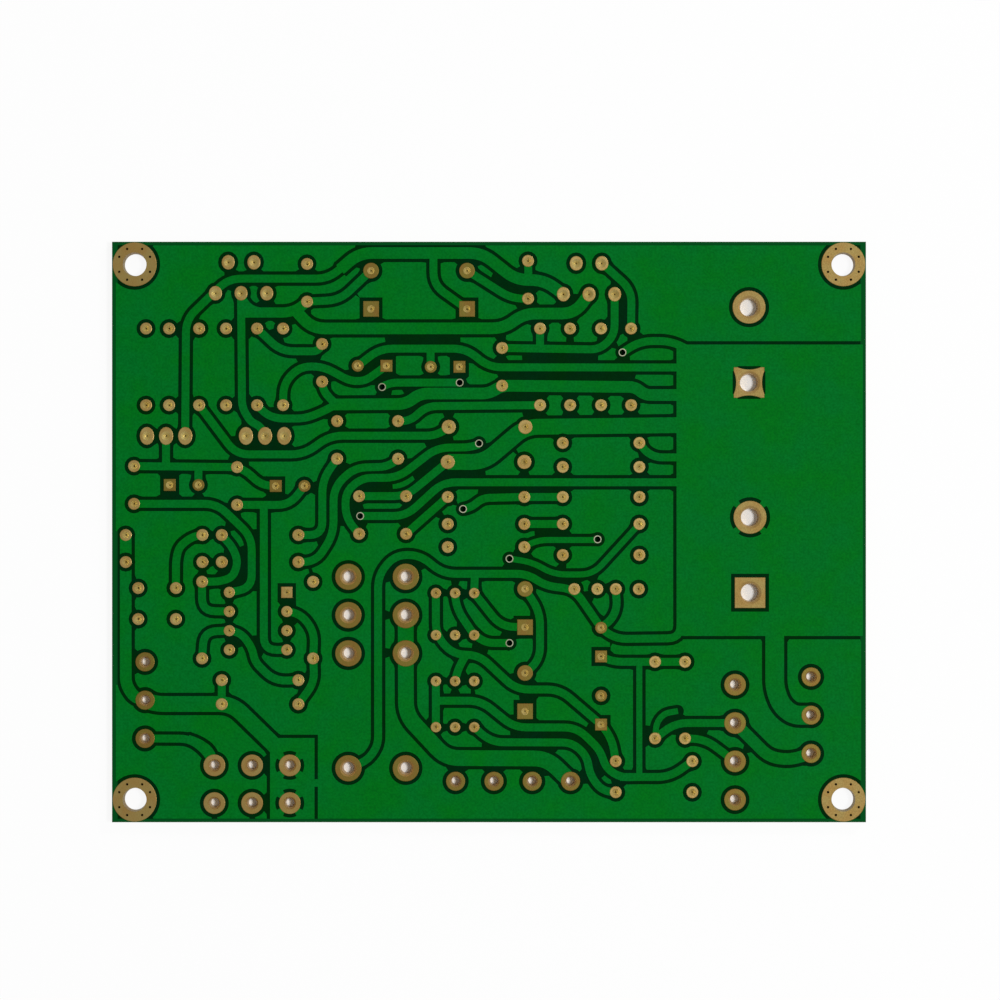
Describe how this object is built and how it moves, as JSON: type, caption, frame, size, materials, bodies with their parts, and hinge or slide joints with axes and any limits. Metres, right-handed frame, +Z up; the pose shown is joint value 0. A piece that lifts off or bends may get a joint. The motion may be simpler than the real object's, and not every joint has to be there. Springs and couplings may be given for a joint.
{
  "type": "amplifier circuit board",
  "caption": "Flat rectangular green two-layer circuit board for an audio amplifier, bare of parts, with gold lands, lacquered tracks and corner mounting holes.",
  "frame": {"origin": "centre of the board's underside, the component side, on which it lies", "axes": "+X along the board's length, +Y along its width, +Z up out of the solder side"},
  "size_m": [0.1, 0.077, 0.0017],
  "materials": {
    "masked_laminate": "dark green lacquer on glass-epoxy laminate",
    "masked_copper": "green lacquer on copper foil",
    "gold_plating": "thin gold plating on copper"
  },
  "bodies": {
    "root": {"amplifier_lands": "gold_plating", "amplifier_tracks": "masked_copper", "capacitor_lands": "gold_plating", "diode_lands": "gold_plating", "electrolytic_lands": "gold_plating", "filter_capacitor_lands": "gold_plating", "ground_area": "masked_copper", "laminate": "masked_laminate", "mounting_rings": "gold_plating", "op_amp_lands": "gold_plating", "preamplifier_tracks": "masked_copper", "protection_tracks": "masked_copper", "rectifier_lands": "gold_plating", "regulator_lands": "gold_plating", "regulator_tracks": "masked_copper", "relay_lands": "gold_plating", "resistor_lands": "gold_plating", "speaker_tracks": "masked_copper", "star_ground_area": "masked_copper", "supply_tracks": "masked_copper", "terminal_lands": "gold_plating", "transistor_lands": "gold_plating", "volume_control_area": "masked_copper", "volume_control_lands": "gold_plating"}
  },
  "joints": []
}
